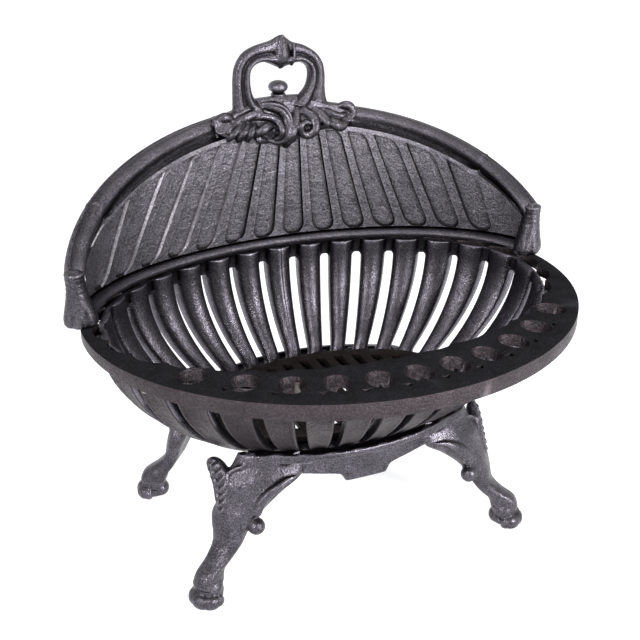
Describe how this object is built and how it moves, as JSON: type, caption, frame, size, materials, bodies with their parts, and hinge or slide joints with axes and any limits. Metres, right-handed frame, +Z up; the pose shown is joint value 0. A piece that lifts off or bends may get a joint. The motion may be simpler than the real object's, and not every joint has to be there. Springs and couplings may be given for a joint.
{
  "type": "fireplace fire basket",
  "caption": "Oval cast-iron fire basket with slotted bars, pierced front ledge, lift-off fluted hood with handle, and lion-foot stand.",
  "frame": {"origin": "on the floor under the centre of the object's outline", "axes": "+Z up, +X to the right seen from the ledge, +Y from the ledge towards the hood"},
  "size_m": [0.525, 0.396, 0.5],
  "materials": {
    "graphite_iron": "polished graphite over a sand-cast grain",
    "black_iron": "matte black, sooty",
    "grate_iron": "dull, lightly rusted",
    "bolt_iron": "dull brown iron"
  },
  "bodies": {
    "basket_and_stand": {"basket": "graphite_iron", "rim_plate": "black_iron", "stand_front": "graphite_iron", "stand_rear": "graphite_iron", "stand_bolt_front_left": "bolt_iron", "stand_nut_front_left": "bolt_iron", "stand_bolt_front_right": "bolt_iron", "stand_nut_front_right": "bolt_iron", "stand_bolt_rear_left": "bolt_iron", "stand_nut_rear_left": "bolt_iron", "stand_bolt_rear_right": "bolt_iron", "stand_nut_rear_right": "bolt_iron", "rim_bolt_outer_right": "bolt_iron", "rim_bolt_outer_left": "bolt_iron", "rim_bolt_inner_right": "bolt_iron", "rim_bolt_inner_left": "bolt_iron"},
    "hood": {"hood": "graphite_iron", "handle_crest": "graphite_iron", "handle_knob": "graphite_iron"},
    "grate": {"bottom_grate": "grate_iron"}
  },
  "joints": [
    {"name": "hood_lift", "type": "slide", "parent": "basket_and_stand", "child": "hood", "axis": [0, 0, 1], "range_m": [0, 0.15]},
    {"name": "grate_lift", "type": "slide", "parent": "basket_and_stand", "child": "grate", "axis": [0, 0, 1], "range_m": [0, 0.2]}
  ]
}
